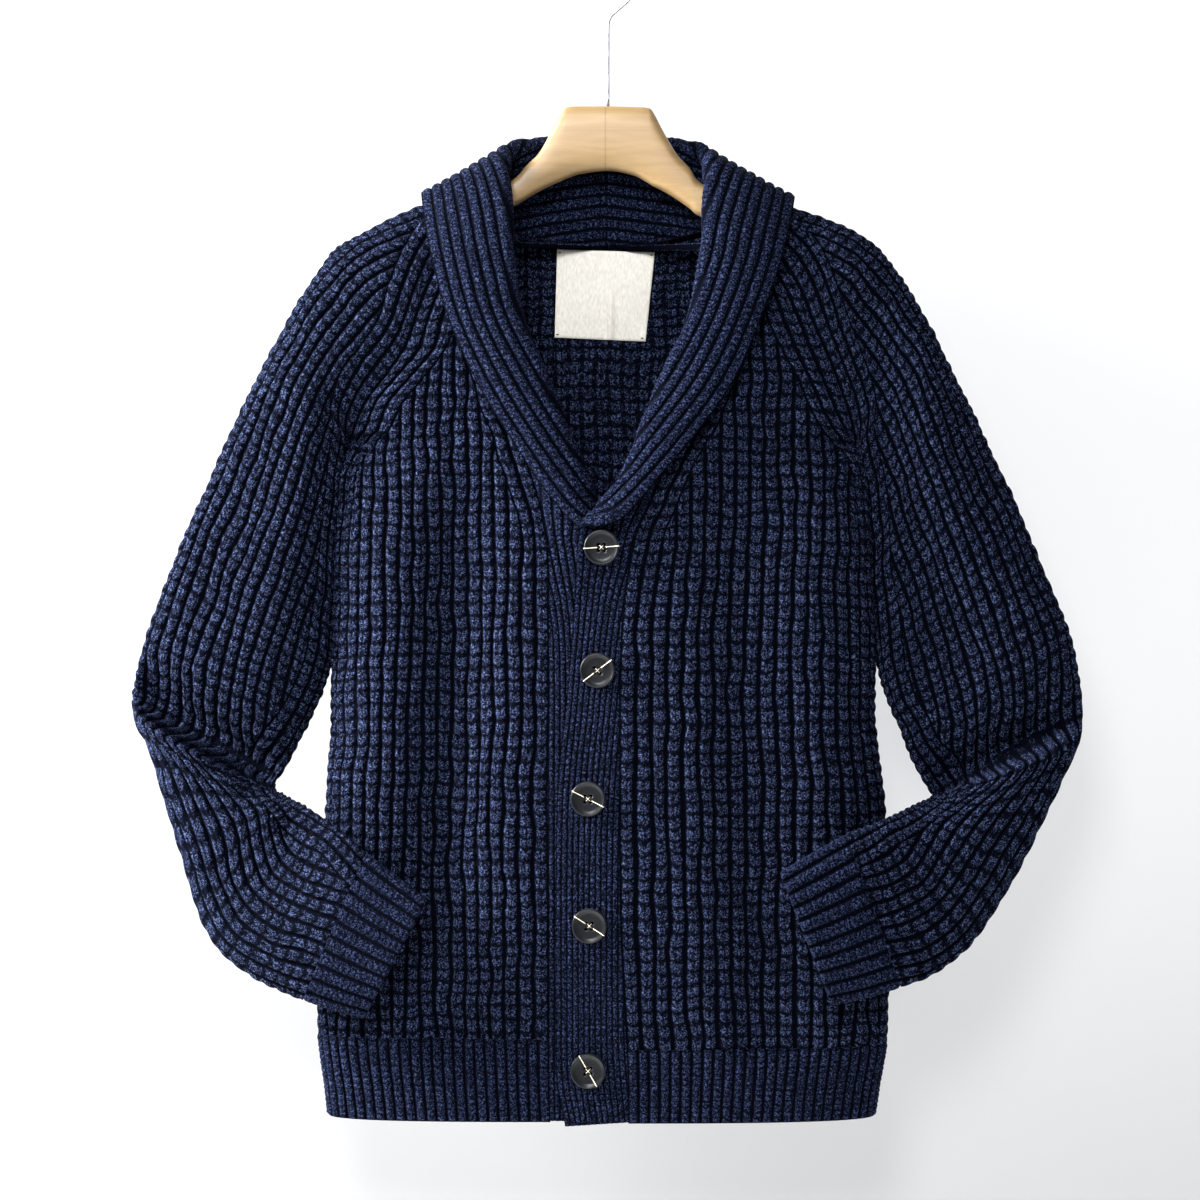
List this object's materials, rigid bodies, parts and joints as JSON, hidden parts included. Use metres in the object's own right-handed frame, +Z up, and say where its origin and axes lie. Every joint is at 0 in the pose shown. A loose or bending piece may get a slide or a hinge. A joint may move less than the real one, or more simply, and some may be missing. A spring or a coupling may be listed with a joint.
{
  "type": "v-neck cardigan on a wooden hanger",
  "caption": "Chunky waffle-knit V-neck cardigan with a ribbed shawl collar, band, hem and cuffs, buttoned and hung on a contoured wooden hanger with a wire hook.",
  "frame": {"origin": "underside of the hook's crown, where the hanger rests on its rail", "axes": "+Z up, -Y towards the front of the cardigan, +X to the viewer's right, which is the wearer's left"},
  "size_m": [0.721, 0.1319, 0.8835],
  "materials": {
    "navy_waffle_knit": "matte chunky wool knit",
    "navy_rib_knit": "matte ribbed wool knit",
    "varnished_beech": "satin varnish",
    "hook_steel": "bright drawn wire",
    "charcoal_button": "satin resin",
    "cream_label": "bare woven tape"
  },
  "bodies": {
    "root": {"back": "navy_waffle_knit", "button_1": "charcoal_button", "button_2": "charcoal_button", "button_3": "charcoal_button", "button_4": "charcoal_button", "button_5": "charcoal_button", "button_band_collar_left": "navy_rib_knit", "button_band_collar_right": "navy_rib_knit", "cuff_left": "navy_rib_knit", "cuff_right": "navy_rib_knit", "front_left": "navy_waffle_knit", "front_right": "navy_waffle_knit", "hanger": "varnished_beech", "hem_back": "navy_rib_knit", "hem_front_left": "navy_rib_knit", "hem_front_right": "navy_rib_knit", "hook": "hook_steel", "neck_label": "cream_label", "sleeve_left": "navy_waffle_knit", "sleeve_right": "navy_waffle_knit"}
  },
  "joints": []
}
